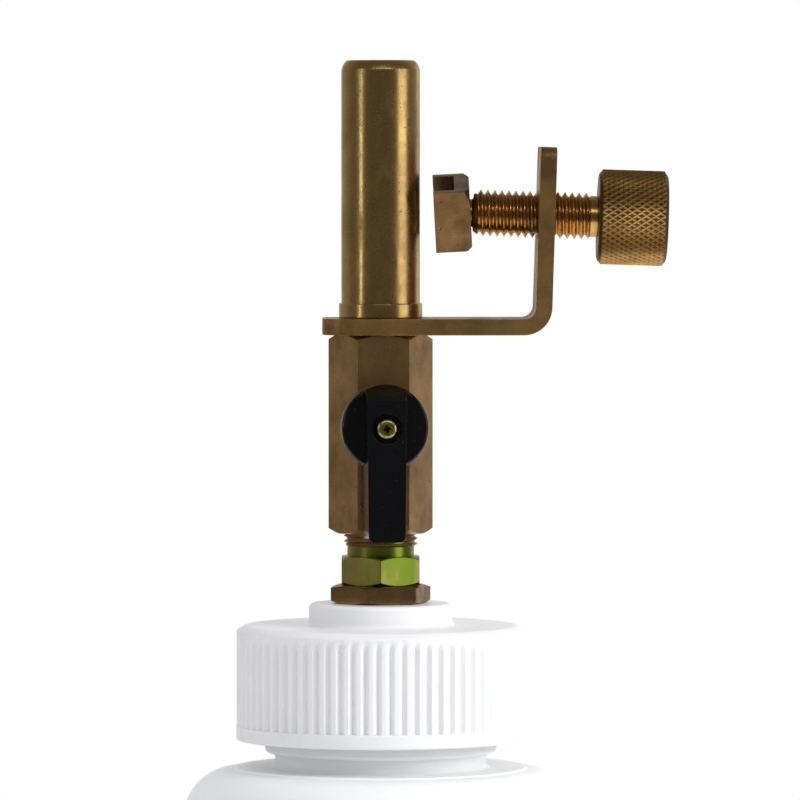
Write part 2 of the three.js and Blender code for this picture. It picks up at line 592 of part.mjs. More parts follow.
// The upright seen from its side: small rounds on its two top corners.
function roundedTopFront() {
  const corner = 2;
  const top = onUpright(bendOuterRadius, UPRIGHT_LENGTH).y + 1;
  const front = new THREE.Shape();
  front.moveTo(-20, 200);
  front.lineTo(20, 200);
  front.lineTo(20, top - 12);
  front.lineTo(STRAP_HALF_WIDTH, top - 12);
  front.lineTo(STRAP_HALF_WIDTH, top - 1 - corner);
  front.absarc(STRAP_HALF_WIDTH - corner, top - 1 - corner, corner, 0, Math.PI / 2, false);
  front.lineTo(STRAP_HALF_WIDTH - corner, top);
  front.lineTo(corner - STRAP_HALF_WIDTH, top);
  front.absarc(corner - STRAP_HALF_WIDTH, top - 1 - corner, corner, Math.PI / 2, Math.PI, false);
  front.lineTo(-STRAP_HALF_WIDTH, top - 12);
  front.lineTo(-20, top - 12);
  front.closePath();
  const along = new THREE.ExtrudeGeometry(front, { depth: 100, bevelEnabled: false, curveSegments: 4 });
  return solidOf(along.rotateX(Math.PI / 2).rotateZ(Math.PI / 2).translate(-40, 0, 0));
}

function makeTube() {
  return turned([
    [TUBE_BORE, SHANK_BOTTOM], [SHANK_RADIUS - 0.6, SHANK_BOTTOM], [SHANK_RADIUS, SHANK_BOTTOM + 0.6],
    [SHANK_RADIUS, STRAP_TOP], [COLLAR_RADIUS - 0.2, STRAP_TOP], [COLLAR_RADIUS, STRAP_TOP + 0.3],
    [COLLAR_RADIUS, COLLAR_TOP - 0.3], [COLLAR_RADIUS - 0.2, COLLAR_TOP], [TUBE_RADIUS, COLLAR_TOP],
    [TUBE_RADIUS, TUBE_TOP - 1.6], [TUBE_RADIUS - 0.85, TUBE_TOP], [TUBE_BORE + 0.4, TUBE_TOP],
    [TUBE_BORE, TUBE_TOP - 0.5],
  ], 28);
}

// ---------------------------------------------------------------- clamp screw, knob and jaw
// This group's Z runs outward along the screw and its Y is world Y.
const clampGroup = new THREE.Group();
clampGroup.rotation.z = CLAMP_TWIST;
torch.add(clampGroup);
const screwGroup = new THREE.Group();
const screwCentre = onUpright(BEND_INNER_RADIUS + STRAP_THICKNESS / 2, SCREW_UP);
screwGroup.position.set(screwCentre.x, 0, screwCentre.y);
screwGroup.rotation.y = Math.PI / 2 + LEAN;
clampGroup.add(screwGroup);

function alongScrew(geometry) {
  return geometry.rotateY(Math.PI / 2 + LEAN).translate(screwCentre.x, 0, screwCentre.y);
}

function makeClampScrew() {
  const thread = threadedRod(SCREW_CREST, SCREW_ROOT, SCREW_PITCH, SCREW_THREAD_START, SCREW_THREAD_END);
  const envelope = turned([
    [0, SCREW_THREAD_START], [SCREW_ROOT - 0.4, SCREW_THREAD_START], [SCREW_CREST + 0.1, SCREW_THREAD_START + 1.4],
    [SCREW_CREST + 0.1, SCREW_THREAD_END - 0.4], [SCREW_ROOT, SCREW_THREAD_END], [0, SCREW_THREAD_END],
  ]);
  const tip = turned([
    [0, TIP_END], [TIP_RADIUS - 0.4, TIP_END], [TIP_RADIUS, TIP_END + 0.4], [TIP_RADIUS, TIP_END + 0.5],
    [2, TIP_END + 0.5], [2, TIP_END + 1.4], [TIP_RADIUS, TIP_END + 1.4],
    [TIP_RADIUS, SCREW_THREAD_START + 0.2], [0, SCREW_THREAD_START + 0.2],
  ], 16);
  const neck = rod(SCREW_NECK_RADIUS, SCREW_THREAD_END - 0.6, KNOB_START, 20);
  const spigot = rod(SPIGOT_RADIUS, KNOB_START - 0.1, SPIGOT_END, 16);
  return joined(thread.intersect(envelope), tip, neck, spigot);
}

// The knob's rim: rows of points alternately high and low make the diamond knurl.
function makeKnob() {
  const columns = 36;
  const rows = 8;
  const depth = 0.35;
  const first = KNOB_START + 1;
  const last = KNOB_END - 1;
  const rim = [];
  const triangles = [];
  for (let row = 0; row <= rows; row += 1) {
    for (let i = 0; i < columns; i += 1) {
      const angle = i * TURN / columns;
      const radius = KNOB_RADIUS - ((row + i) % 2) * depth;
      rim.push(radius * Math.cos(angle), radius * Math.sin(angle), first + (last - first) * row / rows);
      if (row === 0) continue;
      const next = (i + 1) % columns;
      const below = (row - 1) * columns;
      const here = row * columns;
      if ((row + i) % 2) triangles.push(below + i, below + next, here + i, below + next, here + next, here + i);
      else triangles.push(below + i, below + next, here + next, below + i, here + next, here + i);
    }
  }
  const centre = rim.length / 3;
  rim.push(0, 0, first, 0, 0, last);
  for (let i = 0; i < columns; i += 1) {
    const next = (i + 1) % columns;
    triangles.push(centre, next, i, centre + 1, rows * columns + i, rows * columns + next);
  }
  const geometry = new THREE.BufferGeometry();
  geometry.setAttribute('position', new THREE.Float32BufferAttribute(rim, 3));
  geometry.setIndex(triangles);
  const ends = turned([
    [0, KNOB_START], [KNOB_RADIUS - 1.3, KNOB_START], [KNOB_RADIUS - 0.5, first + 0.2],
    [KNOB_RADIUS - 0.5, last - 0.2], [KNOB_RADIUS - 1.4, KNOB_END], [0, KNOB_END],
  ], 36);
  return cut(joined(solidOf(geometry), ends), rod(SPIGOT_RADIUS + GAP, KNOB_START - 1, SPIGOT_END + GAP, 16));
}

function makeJaw() {
  const block = box(-JAW_HALF_HEIGHT, JAW_HALF_HEIGHT, -JAW_HALF_DEPTH, JAW_HALF_DEPTH, JAW_FRONT, JAW_BACK);
  const slot = box(-9, 9, -JAW_SLOT_HALF, JAW_SLOT_HALF, JAW_FRONT - 1, JAW_SLOT_FLOOR);
  const easedBack = turned([
    [0, JAW_FRONT - 1], [12, JAW_FRONT - 1], [12, JAW_BACK - 3.4], [JAW_HALF_DEPTH + 0.9, JAW_BACK], [0, JAW_BACK],
  ]);
  return cut(block.intersect(easedBack), slot, rod(TIP_RADIUS + 0.6, JAW_SLOT_FLOOR - 1, JAW_BACK + 1, 16));
}

function addClamp() {
  addPart(clampGroup, 'clamp_bracket', makeBracket(), brass);
  addPart(torch, 'outlet_tube', makeTube(), brass);
  addPart(screwGroup, 'clamp_screw', makeClampScrew(), brightBrass);
  addPart(screwGroup, 'thumb_knob', makeKnob(), brass);
  addPart(screwGroup, 'jaw_retaining_ring', ring(2.2, 3.7, TIP_END + 0.6, TIP_END + 1.2, 20), steel);
  const jawGroup = new THREE.Group();
  jawGroup.rotation.order = 'ZYX';
  jawGroup.rotation.set(0, JAW_TILT, JAW_TURN);
  const jawMiddle = (JAW_SLOT_FLOOR + JAW_BACK) / 2;
  jawGroup.position.set(0, 0, jawMiddle);
  screwGroup.add(jawGroup);
  const seated = new THREE.Group();
  seated.position.z = -jawMiddle;
  jawGroup.add(seated);
  addPart(seated, 'clamp_jaw', makeJaw(), brass);
}

addBottleAndCap();
addNippleStack();
addValve();
addStemAndLever();
addClamp();

export default torch;
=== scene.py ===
import math

import bmesh
import bpy
from mathutils import Matrix, Vector


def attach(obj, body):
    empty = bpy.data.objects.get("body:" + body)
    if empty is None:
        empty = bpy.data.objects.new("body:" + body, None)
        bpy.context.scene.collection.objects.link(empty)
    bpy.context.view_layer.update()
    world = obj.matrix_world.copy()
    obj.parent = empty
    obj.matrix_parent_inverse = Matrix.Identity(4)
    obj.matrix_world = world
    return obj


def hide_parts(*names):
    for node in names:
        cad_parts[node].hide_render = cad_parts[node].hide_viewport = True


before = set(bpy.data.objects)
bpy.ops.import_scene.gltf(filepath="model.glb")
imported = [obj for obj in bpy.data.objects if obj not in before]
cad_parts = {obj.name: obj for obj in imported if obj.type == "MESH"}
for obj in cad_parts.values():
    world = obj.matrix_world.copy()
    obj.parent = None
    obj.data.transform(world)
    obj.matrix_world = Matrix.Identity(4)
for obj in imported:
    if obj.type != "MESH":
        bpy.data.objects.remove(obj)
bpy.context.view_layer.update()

MM = 0.001


# ------------------------------------------------------------------ the table and the light
# The bottle stands on a small round of pale board in a white studio. A tall narrow lamp on the
# left and a broad soft one on the right draw the two streaks down every polished brass wall, a
# high bar lights the threads, and the room's dark front keeps the middle of the metal brown.
class Signal:
    """A node socket that Python's operators work on; each one adds its Math node."""

    def __init__(self, sheet, socket):
        self.sheet = sheet
        self.socket = socket

    def maths(self, operation, first, second=None, clamp=False):
        settings = {"operation": operation, "use_clamp": clamp}
        return self.sheet.node("ShaderNodeMath", settings, {0: first, 1: second})

    def __add__(self, other):
        return self.maths("ADD", self, other)

    def __sub__(self, other):
        return self.maths("SUBTRACT", self, other)

    def __rsub__(self, other):
        return self.maths("SUBTRACT", other, self)

    def __mul__(self, other):
        return self.maths("MULTIPLY", self, other)

    __radd__ = __add__
    __rmul__ = __mul__

    def between(self, low, high):
        """0 at low and below, 1 at high and above."""
        return self.maths("MULTIPLY", self - low, 1 / (high - low), clamp=True)


class Sheet:
    """A node tree: node() adds any node, first its settings and then its sockets."""

    def __init__(self, tree):
        self.tree = tree

    def node(self, kind, settings=(), sockets=(), out=0):
        made = self.tree.nodes.new(kind)
        for name, value in dict(settings).items():
            if name == "stops":
                ramp = made.color_ramp.elements
                while len(ramp) < len(value):
                    ramp.new(0.5)
                for element, (position, colour) in zip(ramp, value):
                    element.position = position
                    element.color = (*colour, 1)
            else:
                setattr(made, name, value)
        for name, value in dict(sockets).items():
            if isinstance(value, Signal):
                self.tree.links.new(value.socket, made.inputs[name])
            elif value is not None:
                made.inputs[name].default_value = value
        return Signal(self, made.outputs[out])

    def mix(self, factor, first, second):
        """A colour between two, each a colour or a signal."""
        first, second = [c if isinstance(c, Signal) else (*c, 1) for c in (first, second)]
        return self.node("ShaderNodeMix", {"data_type": "RGBA"}, {0: factor, 6: first, 7: second}, out=2)


def look_from(azimuth, elevation):
    """The direction from the object towards an eye at these degrees; azimuth 0 is the front."""
    across, up = math.radians(azimuth), math.radians(elevation)
    return Vector((math.sin(across) * math.cos(up), -math.cos(across) * math.cos(up), math.sin(up)))


VIEW_DISTANCE = 1.4
LAMP_DISTANCE = 0.9
view_centre = Vector((3.6, 0, 209.2)) * MM
towards_eye = look_from(-4, 2)
camera = bpy.data.objects.new("camera", bpy.data.cameras.new("camera"))
bpy.context.collection.objects.link(camera)
camera.data.lens = 340
camera.data.clip_end = 20
camera.location = view_centre + towards_eye * VIEW_DISTANCE
camera.rotation_euler = towards_eye.to_track_quat("Z", "Y").to_euler()
bpy.context.scene.camera = camera


def add_lamp(name, azimuth, elevation, width, height, watts, mirrored=True):
    """A soft rectangular lamp that faces the piece; one that isn't mirrored leaves no streak."""
    lamp = bpy.data.objects.new(name, bpy.data.lights.new(name, "AREA"))
    bpy.context.collection.objects.link(lamp)
    lamp.visible_glossy = mirrored
    lamp.data.shape = "RECTANGLE"
    lamp.data.size = width
    lamp.data.size_y = height
    lamp.data.energy = watts
    outwards = look_from(azimuth, elevation)
    lamp.location = view_centre + outwards * LAMP_DISTANCE
    lamp.rotation_euler = outwards.to_track_quat("Z", "Y").to_euler()


add_lamp("strip_lamp", -63, 12, 0.08, 0.42, 0.34)
add_lamp("window_lamp", 63, 6, 0.44, 0.7, 1.35)
add_lamp("high_lamp", 4, 34, 0.9, 0.07, 0.95)
add_lamp("rim_lamp", 136, 2, 0.30, 0.6, 0.25)
add_lamp("key_lamp", 56, 25, 0.4, 0.4, 4.6, mirrored=False)

world = bpy.data.worlds.new("studio")
bpy.context.scene.world = world
world.use_nodes = True
room = Sheet(world.node_tree)
direction = room.node("ShaderNodeTexCoord", out="Generated")
facing = room.node("ShaderNodeVectorMath", {"operation": "DOT_PRODUCT"},
                   {0: direction, 1: towards_eye}, out="Value")
behind_eye = facing * 0.5 + 0.5
wall_light = room.node("ShaderNodeValToRGB", {"stops": [
    (0.0, (1.0, 1.0, 1.0)), (0.012, (0.92, 0.91, 0.90)), (0.045, (0.42, 0.41, 0.40)),
    (0.12, (0.31, 0.30, 0.295)), (0.3, (0.24, 0.23, 0.222)), (0.46, (0.14, 0.134, 0.128)),
    (0.75, (0.105, 0.100, 0.095)), (1.0, (0.078, 0.074, 0.071)),
]}, {0: behind_eye})
path_node = world.node_tree.nodes.new("ShaderNodeLightPath")
seen = Signal(room, path_node.outputs["Is Camera Ray"])
mirrored = Signal(room, path_node.outputs["Is Glossy Ray"])
white = (1.0, 1.0, 1.0)
soft_light = room.mix(behind_eye, (1.15, 1.15, 1.17), (0.52, 0.525, 0.54))
scattered = room.mix(mirrored, soft_light, wall_light)
world.node_tree.links.new(room.mix(seen, scattered, white).socket,
                          world.node_tree.nodes["Background"].inputs["Color"])
bpy.context.scene.view_settings.view_transform = "Standard"


def nothing_selected():
    if bpy.context.object is not None and bpy.context.object.mode != "OBJECT":
        bpy.ops.object.mode_set(mode="OBJECT")
    bpy.ops.object.select_all(action="DESELECT")


def only(piece):
    nothing_selected()
    piece.select_set(True)
    bpy.context.view_layer.objects.active = piece


def new_finish(name, **constants):
    """A material, its node sheet and its shader, with the shader's fixed values set."""
    material = bpy.data.materials.new(name)
    material.use_nodes = True
    shader = material.node_tree.nodes["Principled BSDF"]
    for label, value in constants.items():
        shader.inputs[label.replace("_", " ")].default_value = value
    return material, Sheet(material.node_tree), shader


def feed(sheet, shader, **signals):
    for label, signal in signals.items():
        sheet.tree.links.new(signal.socket, shader.inputs[label.replace("_", " ")])


def grain(sheet, scale, stretch=(1, 1, 1), detail=3, roughness=0.55):
    """Noise on the object's own coordinates, stretched along an axis for marks that run."""
    place = sheet.node("ShaderNodeTexCoord", out="Object")
    stretched = sheet.node("ShaderNodeMapping", sockets={"Vector": place, "Scale": stretch})
    sockets = {"Vector": stretched, "Scale": scale, "Detail": detail, "Roughness": roughness}
    return sheet.node("ShaderNodeTexNoise", sockets=sockets)


def bump(sheet, height, depth_mm, strength=0.6):
    """A surface normal raised by a height signal of this depth."""
    sockets = {"Height": height, "Distance": depth_mm * MM, "Strength": strength}
    return sheet.node("ShaderNodeBump", sockets=sockets)


nothing_selected()
bpy.ops.mesh.primitive_circle_add(vertices=96, radius=0.42, fill_type="NGON",
                                  location=(0, 0, -0.4 * MM))
board = bpy.context.object
board.name = "board"
bpy.ops.object.transform_apply(location=True)
board_finish, board_sheet, board_shader = new_finish("pale board", Roughness=0.7)
feed(board_sheet, board_shader, Base_Color=board_sheet.mix(
    grain(board_sheet, 30), (0.86, 0.86, 0.87), (0.90, 0.90, 0.90)))
board.data.materials.append(board_finish)


# ------------------------------------------------------------------ bottle
# A half-litre bottle blow-moulded in natural polyethylene: a slightly pushed-up base, a plain
# round wall, a round shoulder, and a thick moulded neck finish with a helical thread ridge.
SAME_POINT = 0.001 * MM


def arc(centre_r, centre_z, radius, start, end, steps=5):
    """Points of a round from one direction to another, in degrees."""
    turns = [math.radians(start + (end - start) * k / steps) for k in range(steps + 1)]
    return [(centre_r + radius * math.cos(t), centre_z + radius * math.sin(t)) for t in turns]


def weld():
    """In edit mode, selects everything and merges the points that fall together."""
    bpy.ops.mesh.select_all(action="SELECT")
    bpy.ops.mesh.remove_doubles(threshold=SAME_POINT)


def close_ends():
    """In edit mode, fills every open end."""
    bpy.ops.mesh.select_all(action="DESELECT")
    bpy.ops.mesh.select_non_manifold(extend=False)
    bpy.ops.mesh.fill_holes(sides=0)


def face_outwards():
    """Turns every face outwards, and leaves edit mode."""
    bpy.ops.mesh.select_all(action="SELECT")
    bpy.ops.mesh.normals_make_consistent(inside=False)
    bpy.ops.object.mode_set(mode="OBJECT")


def drawn(name, points):
    """A chain of edges in the XZ plane, extruded from one point to the next, in millimetres."""
    nothing_selected()
    bpy.ops.mesh.primitive_plane_add(size=MM)
    piece = bpy.context.object
    piece.name = name
    bpy.ops.object.mode_set(mode="EDIT")
    bpy.ops.mesh.select_mode(type="VERT")
    bpy.ops.mesh.select_all(action="SELECT")
    bpy.ops.mesh.merge(type="CENTER")
    bpy.ops.transform.translate(value=(points[0][0] * MM, 0, points[0][1] * MM))
    for (x, z), (next_x, next_z) in zip(points, points[1:]):
        step = ((next_x - x) * MM, 0, (next_z - z) * MM)
        bpy.ops.mesh.extrude_region_move(TRANSFORM_OT_translate={"value": step})
    return piece


def turned(name, points, steps=96, closed=False):
    """A lathe-turned piece about Z; its outline ends on the axis, or closes on itself."""
    piece = drawn(name, points + points[:1] if closed else points)
    weld()
    bpy.ops.mesh.spin(steps=steps, angle=2 * math.pi, center=(0, 0, 0), axis=(0, 0, 1))
    weld()
    face_outwards()
    return piece


def apply_modifier(piece, kind, **settings):
    """Adds a modifier, gives it its settings, and makes it part of the mesh."""
    only(piece)
    modifier = piece.modifiers.new(kind.lower(), kind)
    for name, value in settings.items():
        setattr(modifier, name, value)
    bpy.ops.object.modifier_apply(modifier=modifier.name)


def combined(piece, *others, operation="UNION"):
    """Joins pieces to the first one, or cuts them out of it, and uses them up."""
    for other in others:
        apply_modifier(piece, "BOOLEAN", operation=operation, object=other, solver="EXACT")
        bpy.data.objects.remove(other, do_unlink=True)
    return piece


def softened(piece, width_mm, segments=2, angle=35):
    """Breaks the edges sharper than an angle with a small round."""
    apply_modifier(piece, "BEVEL", width=width_mm * MM, segments=segments, limit_method="ANGLE",
                   angle_limit=math.radians(angle), harden_normals=False)
    return piece


def finished(piece, material, body, slot, *nodes, smooth=32):
    """Closed seams, smooth shading, finish, body, and hides the CAD nodes the piece stands for; slot is
    not used.
    """
    only(piece)
    bpy.ops.object.mode_set(mode="EDIT")
    bpy.ops.mesh.select_mode(type="VERT")
    weld()
    close_ends()
    bpy.ops.object.mode_set(mode="OBJECT")
    bpy.ops.object.shade_smooth_by_angle(angle=math.radians(smooth))
    apply_modifier(piece, "WEIGHTED_NORMAL", keep_sharp=True)
    piece.data.materials.clear()
    piece.data.materials.append(material)
    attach(piece, body)
    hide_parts(*nodes)
    return piece


CLOSURE_PITCH = 4.2
CLOSURE_TURNS = 1.6


def helix_ridge(name, root, crest, start):
    """A moulded thread ridge, four-sided, wound up the closure's pitch."""
    crest_half = 0.45
    root_half = 0.9
    steps = round(64 * CLOSURE_TURNS)
    corners = [(root, start - root_half), (crest, start - crest_half),
               (crest, start + crest_half), (root, start + root_half)]
    ridge = drawn(name, corners + corners[:1])
    weld()
    apply_modifier(ridge, "SCREW", angle=CLOSURE_TURNS * 2 * math.pi,
                   screw_offset=CLOSURE_TURNS * CLOSURE_PITCH * MM,
                   iterations=1, steps=steps, render_steps=steps, axis="Z")
    bpy.ops.object.mode_set(mode="EDIT")
    close_ends()
    face_outwards()
    return ridge


def shoulder(side_radius, top_radius, foot_z, rise, steps=12):
    """The bottle's round shoulder, a little squarer than a circle."""
    squareness = 0.92
    points = []
    for k in range(steps + 1):
        turn = math.pi / 2 * k / steps
        out = (side_radius - top_radius) * math.cos(turn) ** squareness
        points.append((top_radius + out, foot_z + rise * math.sin(turn) ** squareness))
    return points


bottle = turned("bottle_shell", [
    (0, 1.2), (22, 1.0), (29, 0.3), (30.6, 0), (33.6, 0), *arc(33.8, 3.2, 3.2, -80, 0),
    (37, 40), (37, 90), *shoulder(37, 27.2, 129.4, 11.5), (26.9, 141.2), (20.5, 141.2),
    *arc(20.5, 142.1, 0.9, 260, 180, 4), (19.6, 143.5), (19.85, 143.9), (20.7, 143.95),
    *arc(20.75, 144.65, 0.7, -80, 0, 4), (21.45, 163.5), *arc(20.95, 163.5, 0.5, 10, 90, 4),
    (18.4, 164), *arc(18.4, 163.6, 0.4, 100, 180, 3), (18, 142), (18.6, 140.6), (20, 139.9),
    *reversed(shoulder(35.7, 26.6, 129.2, 10.6)), (35.7, 90), (35.7, 40), (35.7, 4.6),
    *arc(33.2, 4.4, 2.5, 0, -80), (24, 2.2), (0, 2.6),
], steps=128)
combined(bottle, helix_ridge("bottle_thread", 21.2, 22.9, 154.4))

milky, sheet, shader = new_finish(
    "milky polyethylene", Subsurface_Weight=0.35, Subsurface_Radius=(0.006, 0.006, 0.006),
    Subsurface_Scale=1.0, IOR=1.5, Coat_Roughness=0.25)
cloud = grain(sheet, 45)
pebble = grain(sheet, 900, (1, 1, 0.5), detail=4)
feed(sheet, shader,
     Base_Color=sheet.mix(cloud, (0.90, 0.905, 0.91), (0.95, 0.955, 0.96)),
     Roughness=0.38 + cloud * 0.14,
     Normal=bump(sheet, pebble + cloud * 2, 0.05, 0.35))
finished(bottle, milky, "bottle", "bottle_plastic", "bottle")


# ------------------------------------------------------------------ screw cap
# A white polypropylene screw cap: a plain band at the foot, seventy-two ribs parted by rounded
# grooves that fade out under the bevelled rim, and a raised boss drilled for the nipple.
def pick(piece, rule):
    """In edit mode, selects the vertices whose place obeys a rule, and only those."""
    bpy.ops.mesh.select_mode(type="VERT")
    mesh = bmesh.from_edit_mesh(piece.data)
    for vertex in mesh.verts:
        vertex.select_set(bool(rule(vertex.co / MM)))
    mesh.select_flush_mode()
    bmesh.update_edit_mesh(piece.data)


RIBS = 72
COLUMNS_PER_RIB = 6
RIM_RADIUS = 26.7
GROOVE_DEPTHS = {0: 0.7, 1: 0.42}
groove_rows = [(165.9, 0.12), (165.4, 0.38), (164.9, 0.66), (164.4, 0.86), (163.8, 0.96), (162.8, 1),
               (156, 1), (149.3, 1), (149.05, 0.9)]
cap = turned("cap_shell", [
    (7.15, 171.3), (7.45, 171.6), (12.3, 171.6), *arc(12.4, 170.7, 0.9, 80, 0), (13.3, 168.4),
    *arc(14.2, 168.4, 0.9, 180, 262), (24.8, 167.5), (25.3, 167.42), (26.5, 166.75),
    (RIM_RADIUS, 166.4), *[(RIM_RADIUS, z) for z, depth in groove_rows], (RIM_RADIUS, 148.95),
    (26.8, 148.85), (26.8, 147), *arc(26.4, 146.7, 0.4, 0, -90, 3), (24.5, 146.3), (24, 146.8),
    (24, 165.2), (23.7, 165.5), (7.15, 165.5),
], steps=RIBS * COLUMNS_PER_RIB, closed=True)
only(cap)
bpy.ops.object.mode_set(mode="EDIT")


def column_of(place):
    """0 on a groove's middle, then 1, 2 and 3 towards the crown of the rib."""
    turn = math.atan2(place.y, place.x) / (2 * math.pi) * RIBS * COLUMNS_PER_RIB
    column = round(turn) % COLUMNS_PER_RIB
    return min(column, COLUMNS_PER_RIB - column)


for height, share in groove_rows:
    for column, depth in GROOVE_DEPTHS.items():
        def in_groove(place):
            on_row = abs(place.z - height) < 0.02 and place.xy.length > 26
            return on_row and column_of(place) == column
        pick(cap, in_groove)
        scale = 1 - share * depth / RIM_RADIUS
        bpy.ops.transform.resize(value=(scale, scale, 1), center_override=(0, 0, 0))
bpy.ops.object.mode_set(mode="OBJECT")
combined(cap, helix_ridge("cap_thread", 24.3, 22, 152.3))

white_plastic, sheet, shader = new_finish(
    "white polypropylene", Subsurface_Weight=0.12, Subsurface_Radius=(0.003, 0.003, 0.003),
    Subsurface_Scale=1.0, IOR=1.49)
cloud = grain(sheet, 60)
pores = grain(sheet, 1500, detail=2)
scuffs = grain(sheet, 260, (1, 1, 0.12), detail=5).between(0.6, 0.72)
feed(sheet, shader,
     Base_Color=sheet.mix(scuffs * 0.25, sheet.mix(cloud, (0.77, 0.77, 0.79), (0.84, 0.84, 0.85)),
                          (0.62, 0.61, 0.60)),
     Roughness=0.30 + cloud * 0.1 + scuffs * 0.18,
     Normal=bump(sheet, pores - scuffs * 0.5, 0.02, 0.4))
finished(cap, white_plastic, "torch", "cap_plastic", "cap")


# ------------------------------------------------------------------ hidden seals and washers
# The foam liner in the cap, the rubber gasket under its plate, the valve's waxy white seats and
# the stem's O-rings are moulded or punched parts that only show when the torch is taken apart.
def soft_finish(name, dark, light, roughness, scale):
    """A finish for foam, rubber and wax: fine cells between a dark and a light tone."""
    material, sheet, shader = new_finish(name)
    cells = grain(sheet, scale, detail=4)
    feed(sheet, shader, Base_Color=sheet.mix(cells, dark, light), Roughness=roughness + cells * 0.1,
         Normal=bump(sheet, cells, 0.05, 0.5))
    return material


def refinish(material, *nodes):
    """Gives a finish to pieces that keep their shape."""
    for node in nodes:
        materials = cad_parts[node].data.materials
        materials.clear()
        materials.append(material)


refinish(soft_finish("foam", (0.62, 0.63, 0.62), (0.80, 0.81, 0.80), 0.8, 1800), "cap_liner")
refinish(soft_finish("black rubber", (0.012, 0.012, 0.012), (0.035, 0.035, 0.036), 0.65, 900),
         "inner_gasket", "stem_oring_inner", "stem_oring_outer")
refinish(soft_finish("waxy seal", (0.72, 0.71, 0.67), (0.84, 0.83, 0.80), 0.42, 500),
         "seat_lower", "seat_upper", "stem_thrust_washer")


# ------------------------------------------------------------------ lock nuts
# Two thin hexagon lock nuts cut from brass bar pinch the cap's plate, one on each side: turned
# faces with chamfered corners, and milled flats gone brown with handling.
def metal_finish(name, bright, dull, marks, roughness=0.2, tarnish=0.5, mark_depth=0.02, painted_shade=None):
    """Metal with tool marks along one direction, cloudy tarnish, smears, fine pits, and painted shade
    from a mask where one is given.
    """
    material, sheet, shader = new_finish(name, Metallic=1.0)
    lines = grain(sheet, 1, marks, detail=4, roughness=0.7)
    clouds = grain(sheet, 130, detail=5, roughness=0.6).between(0.36, 0.68)
    smears = grain(sheet, 420, (1, 1, 0.45), detail=3).between(0.48, 0.72)
    pits = grain(sheet, 1900, detail=1).between(0.70, 0.76)
    stain = (clouds * tarnish + smears * 0.18 + lines * 0.22).between(0.05, 0.95)
    # Real pits darken the colour, and so does the optional mask, which paints shade into hollows.
    pits_and_shade = pits * 0.6 if painted_shade is None else pits.maths("MAXIMUM", pits * 0.6, painted_shade(sheet))
    feed(sheet, shader,
         Base_Color=sheet.mix(pits_and_shade, sheet.mix(stain, bright, dull), (0.03, 0.018, 0.009)),
         Roughness=roughness + stain * 0.16 + smears * 0.06 + pits_and_shade * 0.15,
         Normal=bump(sheet, lines + clouds * 0.3 - pits * 2, mark_depth, 0.5))
    return material


def cutter(name, radius, start, end, flare=0.5):
    """A drill that leaves both mouths of its hole lightly countersunk."""
    return turned(name, [(0, start - 1), (radius + 1 + flare, start - 1), (radius, start + flare),
                         (radius, end - flare), (radius + 1 + flare, end + 1), (0, end + 1)], steps=64)


def hex_bar(name, across, start, end, spin, chamfer):
    """Hexagon bar, its corners turned down at both ends to the curved chamfers of a nut."""
    corner = across / 2 / math.cos(math.pi / 6)
    turned_radius = corner + 0.1
    nothing_selected()
    bpy.ops.mesh.primitive_cylinder_add(
        vertices=6, radius=corner * MM, depth=(end - start) * MM,
        location=(0, 0, (start + end) / 2 * MM), rotation=(0, 0, math.radians(spin + 30)))
    bar = bpy.context.object
    bar.name = name
    bpy.ops.object.transform_apply(location=True, rotation=True)
    softened(bar, 0.12)
    flat = across / 2 - 0.15
    envelope = turned("turned_ends", [
        (0, start), (flat, start), (turned_radius, start + chamfer), (turned_radius, end - chamfer),
        (flat, end), (0, end)], steps=100)
    return combined(bar, envelope, operation="INTERSECT")


CAP_TOP = 171.6
NUT_TOP = 175
INNER_NUT_ENDS = (158.8, 162.8)
NUT_HOLE = 7.15
NUT_CHAMFER = 0.55
nut_brass = metal_finish("nut brass", (0.50, 0.295, 0.116), (0.22, 0.130, 0.054),
                         (500, 500, 60), 0.22, 0.9)
outer_nut = combined(hex_bar("lock_nut_outer_shell", 16.5, CAP_TOP, NUT_TOP, 9.6, NUT_CHAMFER),
                     cutter("drill", NUT_HOLE, CAP_TOP, NUT_TOP), operation="DIFFERENCE")
finished(outer_nut, nut_brass, "torch", "satin_brass", "lock_nut_outer")
inner_nut = combined(hex_bar("lock_nut_inner_shell", 17, *INNER_NUT_ENDS, 0, NUT_CHAMFER),
                     cutter("drill", NUT_HOLE, *INNER_NUT_ENDS), operation="DIFFERENCE")
finished(inner_nut, nut_brass, "torch", "satin_brass", "lock_nut_inner")

washer_steel = metal_finish("washer steel", (0.62, 0.63, 0.65), (0.36, 0.36, 0.37),
                            (300, 300, 300), 0.28, 0.6)
refinish(washer_steel, "inner_washer", "jaw_retaining_ring", "valve_ball")
refinish(nut_brass, "seat_retainer", "valve_stem")


# ------------------------------------------------------------------ hex nipple
# A steel pipe nipple with a hexagon in its middle, plated in yellow zinc whose rainbow runs
# from olive to leaf green and straw gold. Fine threads run into the valve and into the cap.
def thread_rod(name, crest, root, pitch, start, end, chamfers=(0.6, 0.6), steps=40):
    """A sharp right-hand thread on a rod with turned-down ends."""
    spare_turns = 2
    count = math.ceil((end - start) / pitch) + 2 * spare_turns
    foot = start - spare_turns * pitch
    flank = [(root, foot), (root, foot + 0.08 * pitch), (crest, foot + 0.46 * pitch),
             (crest, foot + 0.54 * pitch), (root, foot + 0.92 * pitch), (root, foot + pitch)]
    rod = drawn(name, flank)
    apply_modifier(rod, "SCREW", angle=2 * math.pi, screw_offset=pitch * MM, iterations=count,
                   axis="Z", steps=steps, render_steps=steps, use_merge_vertices=True,
                   merge_threshold=SAME_POINT)
    bpy.ops.object.mode_set(mode="EDIT")
    weld()
    close_ends()
    face_outwards()
    blank = turned("thread_blank", [
        (0, start), (root - 0.1, start), (crest + 0.2, start + chamfers[0]),
        (crest + 0.2, end - chamfers[1]), (root - 0.1, end), (0, end)], steps=64)
    return combined(rod, blank, operation="INTERSECT")


